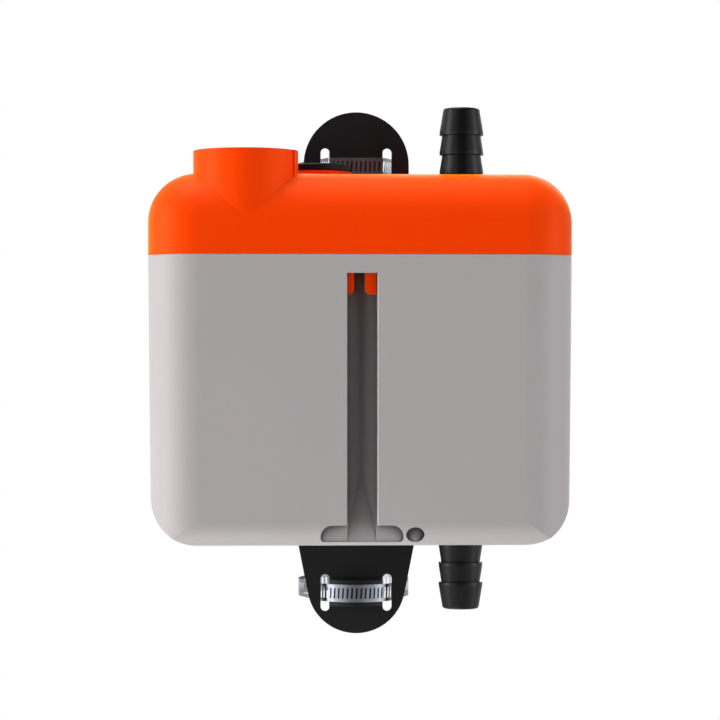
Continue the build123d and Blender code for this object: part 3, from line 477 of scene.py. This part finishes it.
# worm-drive bands, punched right through for the worm to bite
clampBand = {
    "slotPitchMm": 2.1,
    "slotWidthMm": 0.8,
    "slotHeightMm": 4.8,
    "slotLeanMm": 0.3,  # the worm's lead: a slot's top leans this far along the band
    "tailFromDegrees": 34,  # the loose end runs on over the band from here to the worm case
    "crispDegrees": 50,  # corners sharper than this stay crisp
}
# what each band turns round in front: the edge of a strap slot that stands this far from the
# middle, or the arched bridge
bandFronts = {
    "upper": {"turnRadiusMm": 1.0, "turnAsideMm": 12.1},
    "lower": {"turnRadiusMm": 18.518, "turnAsideMm": 0.0},
}
pipeAxis = (0, 0)
quarterTurn = math.pi / 2


def onCircle(centre, radius, angle):
    return Vector((centre[0] + radius * math.cos(angle), centre[1] + radius * math.sin(angle)))


# The right half of a band's middle line, as a function of length, and how long it is: across
# the front, round the turn, straight to the ring on the pipe, and round that ring to the back
def bandPath(aside, turnRadius, frontY, ringRadius):
    centre = (aside, frontY + turnRadius)
    bearing = math.atan2(centre[1], centre[0])
    lean = math.acos((ringRadius - turnRadius) / math.hypot(*centre)) + bearing
    turnLength = turnRadius * (lean + quarterTurn)
    start = onCircle(centre, turnRadius, lean)
    end = onCircle(pipeAxis, ringRadius, lean)
    straight = (end - start).length

    def pointAt(length):
        if length < aside:
            return Vector((length, frontY))
        length -= aside
        if length < turnLength:
            return onCircle(centre, turnRadius, length / turnRadius - quarterTurn)
        length -= turnLength
        if length < straight:
            return start.lerp(end, length / straight)
        return onCircle(pipeAxis, ringRadius, lean + (length - straight) / ringRadius)

    return pointAt, aside + turnLength + straight + ringRadius * (quarterTurn - lean)


# Lays one punched strip into the mesh along columns of points. The columns stand in pairs, one
# on either side of a slot, and between the two of a pair the middle level stays open.
def layStrip(mesh, columns, heights, lean, closed):
    middleLevel = 1
    rows = []
    for point, along in columns:
        shifts = (0, -lean / 2, lean / 2, 0)
        spots = [(*(point + along * shift), height) for height, shift in zip(heights, shifts)]
        rows.append([mesh.verts.new(spot) for spot in spots])
    for index in range(len(rows) if closed else len(rows) - 1):
        here, there = rows[index], rows[(index + 1) % len(rows)]
        acrossSlot = index % 2 == 0
        for level in range(len(heights) - 1):
            if not (acrossSlot and level == middleLevel):
                mesh.faces.new((here[level], there[level], there[level + 1], here[level + 1]))


# each stop's point, with the direction of the path there, read a hair to either side
def bandColumns(pointAt, stops):
    hair = 1e-5
    return [
        (pointAt(stop), (pointAt(stop + hair) - pointAt(stop - hair)).normalized())
        for stop in stops
    ]


def buildBand(place):
    node, front = f"{place}_clamp_band", bandFronts[place]
    low, high = (Vector(corner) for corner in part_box(node))
    # at the back the loose end lies over the band, so the node reaches one thickness further
    thickness = high.y - high.x
    ringRadius = high.x - thickness / 2
    tailRadius = ringRadius + thickness
    halfPoint, halfLength = bandPath(
        front["turnAsideMm"] / mmPerMetre,
        front["turnRadiusMm"] / mmPerMetre + thickness / 2,
        low.y + thickness / 2,
        ringRadius,
    )

    def wholePoint(length):
        length = (length + halfLength) % (2 * halfLength) - halfLength
        point = halfPoint(abs(length))
        return Vector((math.copysign(point.x, length), point.y))

    def tailPoint(length):
        return onCircle(pipeAxis, tailRadius, length / tailRadius)

    middle = (low.z + high.z) / 2
    slotHalf = clampBand["slotHeightMm"] / 2 / mmPerMetre
    heights = (low.z, middle - slotHalf, middle + slotHalf, high.z)
    lean = clampBand["slotLeanMm"] / mmPerMetre
    cells = round(2 * halfLength * mmPerMetre / clampBand["slotPitchMm"])
    pitch = 2 * halfLength / cells
    sides = [side * clampBand["slotWidthMm"] / mmPerMetre / 2 for side in (-1, 1)]
    mesh = bmesh.new()
    around = [cell * pitch + side for cell in range(cells) for side in sides]
    layStrip(mesh, bandColumns(wholePoint, around), heights, lean, True)
    tailStart = math.radians(clampBand["tailFromDegrees"]) * tailRadius
    tailCells = int((quarterTurn * tailRadius - tailStart) / pitch)
    onTail = [tailStart + cell * pitch + side for cell in range(1, tailCells) for side in sides]
    layStrip(mesh, bandColumns(tailPoint, onTail), heights, lean, False)
    bmesh.ops.recalc_face_normals(mesh, faces=mesh.faces)
    data = bpy.data.meshes.new(f"{place}PunchedBand")
    mesh.to_mesh(data)
    mesh.free()
    data.shade_smooth()
    piece = bpy.data.objects.new(data.name, data)
    bpy.context.scene.collection.objects.link(piece)
    solid = piece.modifiers.new("thickness", "SOLIDIFY")
    solid.thickness, solid.offset, solid.use_even_offset = thickness, 0.0, True
    crisp = piece.modifiers.new("crispEdges", "EDGE_SPLIT")
    crisp.split_angle = math.radians(clampBand["crispDegrees"])
    data.materials.append(finishes["band_steel"])
    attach(piece, "bracket")
    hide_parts(node)
    print(place, "band punched with", cells, "slots round it and", tailCells - 1, "on its tail")


for place in bandFronts:
    buildBand(place)


# a long lens, a little over a metre away and slightly to the left
view = {
    "stand": (-0.0443, -1.226, -0.00045),
    "aim": (0.0003, -0.072, -0.00045),
    "lensMm": 130.1,
    "sensorMm": 36,
    "nearest": 0.01,
}

cameraData = bpy.data.cameras.new("camera")
cameraData.lens = view["lensMm"]
cameraData.sensor_width = view["sensorMm"]
cameraData.clip_start = view["nearest"]
camera = bpy.data.objects.new("camera", cameraData)
bpy.context.scene.collection.objects.link(camera)
camera.location = view["stand"]
lookAlong = Vector(view["aim"]) - Vector(view["stand"])
camera.rotation_euler = lookAlong.to_track_quat("-Z", "Y").to_euler()
bpy.context.scene.camera = camera


# Azimuth turns from the front towards the right, in degrees. The level is how strongly a
# softbox lights a white card turned to it: 1 shows the card's own colour.
softboxes = {
    "leftSoftbox": {
        "azimuth": -79, "elevation": 5, "distance": 1.7, "width": 0.7, "height": 1.4,
        "level": 1.08,
    },
    "leftFill": {
        "azimuth": -42, "elevation": 5, "distance": 1.7, "width": 0.6, "height": 1.2,
        "level": 0.2,
    },
    "rightSoftbox": {
        "azimuth": 75, "elevation": 4, "distance": 1.8, "width": 0.7, "height": 1.4,
        "level": 0.6,
    },
    "rightFill": {
        "azimuth": 42, "elevation": 5, "distance": 1.7, "width": 0.6, "height": 1.2,
        "level": 0.2,
    },
    "topSoftbox": {
        "azimuth": -80, "elevation": 76, "distance": 1.6, "width": 0.9, "height": 0.9,
        "level": 0.8,
    },
    "backSoftbox": {
        "azimuth": 165, "elevation": 20, "distance": 1.9, "width": 1.0, "height": 1.2,
        "level": 0.55,
    },
    "lowSoftbox": {
        "azimuth": -60, "elevation": -70, "distance": 1.0, "width": 0.8, "height": 0.6,
        "level": 0.75,
    },
}
studio = {
    "aim": (0, -0.07, 0),
    "roomFill": 0.05,
    # how far back a mirrored ray has to point for the backdrop to begin, and to fill it
    "backdropFrom": -0.1,
    "backdropWhole": 0.5,
    "floorHeight": -1.2,
    "floorSize": 12.0,
    "floorGlow": 0.85,
    "floorTone": 0.95,
    "floorBounce": 0.35,  # how pale the floor is to the light that it throws back up
}
white = (1, 1, 1, 1)

for name, box in softboxes.items():
    azimuth, elevation = math.radians(box["azimuth"]), math.radians(box["elevation"])
    towards = Vector(
        (
            math.sin(azimuth) * math.cos(elevation),
            -math.cos(azimuth) * math.cos(elevation),
            math.sin(elevation),
        )
    )
    lamp = bpy.data.lights.new(name, "AREA")
    lamp.shape = "RECTANGLE"
    lamp.size, lamp.size_y = box["width"], box["height"]
    lamp.energy = box["level"] * (math.pi * box["distance"]) ** 2
    holder = bpy.data.objects.new(name, lamp)
    bpy.context.scene.collection.objects.link(holder)
    holder.location = Vector(studio["aim"]) + towards * box["distance"]
    holder.rotation_euler = (-towards).to_track_quat("-Z", "Y").to_euler()
    holder.visible_camera = False

# the camera sees a white backdrop all round, and glossy surfaces mirror that backdrop behind
# the pump and the dim room in front of it
world = bpy.data.worlds.new("studio")
bpy.context.scene.world = world
world.use_nodes = True
sky = world.node_tree
sky.nodes.clear()
ray = addNode(sky, "ShaderNodeLightPath")
seen = addNode(
    sky,
    "ShaderNodeMath",
    {"operation": "MAXIMUM"},
    {0: ray.outputs["Is Camera Ray"], 1: ray.outputs["Is Transmission Ray"]},
)
direction = addNode(sky, "ShaderNodeTexCoord")
parted = addNode(sky, "ShaderNodeSeparateXYZ", links={"Vector": direction.outputs["Generated"]})
behind = addNode(
    sky,
    "ShaderNodeMapRange",
    {"From Min": studio["backdropFrom"], "From Max": studio["backdropWhole"]},
    {"Value": parted.outputs["Y"]},
)
mirrored = addNode(
    sky,
    "ShaderNodeMath",
    {"operation": "MULTIPLY"},
    {0: ray.outputs["Is Glossy Ray"], 1: behind.outputs["Result"]},
)
backdropShare = addNode(
    sky,
    "ShaderNodeMath",
    {"operation": "MAXIMUM"},
    {0: seen.outputs["Value"], 1: mirrored.outputs["Value"]},
)
room = addNode(sky, "ShaderNodeBackground", {"Color": white, "Strength": studio["roomFill"]})
backdrop = addNode(sky, "ShaderNodeBackground", {"Color": white})
chosen = addNode(
    sky,
    "ShaderNodeMixShader",
    links={
        0: backdropShare.outputs["Value"],
        1: room.outputs["Background"],
        2: backdrop.outputs["Background"],
    },
)
addNode(sky, "ShaderNodeOutputWorld", links={"Surface": chosen.outputs["Shader"]})

# a pale floor far below the hanging pump, which keeps its soft shadow
floorMesh = bpy.data.meshes.new("floor")
half, height = studio["floorSize"] / 2, studio["floorHeight"]
floorMesh.from_pydata(
    [(x, y, height) for x, y in ((-half, -half), (half, -half), (half, half), (-half, half))],
    [],
    [(0, 1, 2, 3)],
)
floor = bpy.data.objects.new("floor", floorMesh)
bpy.context.scene.collection.objects.link(floor)
floorMaterial, paint = startMaterial("paleFloor")
floorRay = addNode(paint, "ShaderNodeLightPath")
floorSeen = addNode(
    paint,
    "ShaderNodeMath",
    {"operation": "MAXIMUM"},
    {0: floorRay.outputs["Is Camera Ray"], 1: floorRay.outputs["Is Glossy Ray"]},
)
floorShown = addNode(
    paint,
    "ShaderNodeMath",
    {"operation": "MAXIMUM"},
    {0: floorSeen.outputs["Value"], 1: floorRay.outputs["Is Transmission Ray"]},
)
glowShare = addNode(
    paint,
    "ShaderNodeMath",
    {"operation": "MULTIPLY", 1: studio["floorGlow"]},
    {0: floorShown.outputs["Value"]},
)
cardTone = addNode(
    paint,
    "ShaderNodeMapRange",
    {"To Min": studio["floorBounce"], "To Max": studio["floorTone"]},
    {"Value": floorShown.outputs["Value"]},
)
card = addNode(paint, "ShaderNodeBsdfDiffuse", links={"Color": cardTone.outputs["Result"]})
glow = addNode(paint, "ShaderNodeEmission", {"Color": white})
floorMix = addNode(
    paint,
    "ShaderNodeMixShader",
    links={
        0: glowShare.outputs["Value"],
        1: card.outputs["BSDF"],
        2: glow.outputs["Emission"],
    },
)
addNode(paint, "ShaderNodeOutputMaterial", links={"Surface": floorMix.outputs["Shader"]})
floorMesh.materials.append(floorMaterial)

bpy.context.scene.view_settings.view_transform = "Standard"
print("camera, light and floor set")
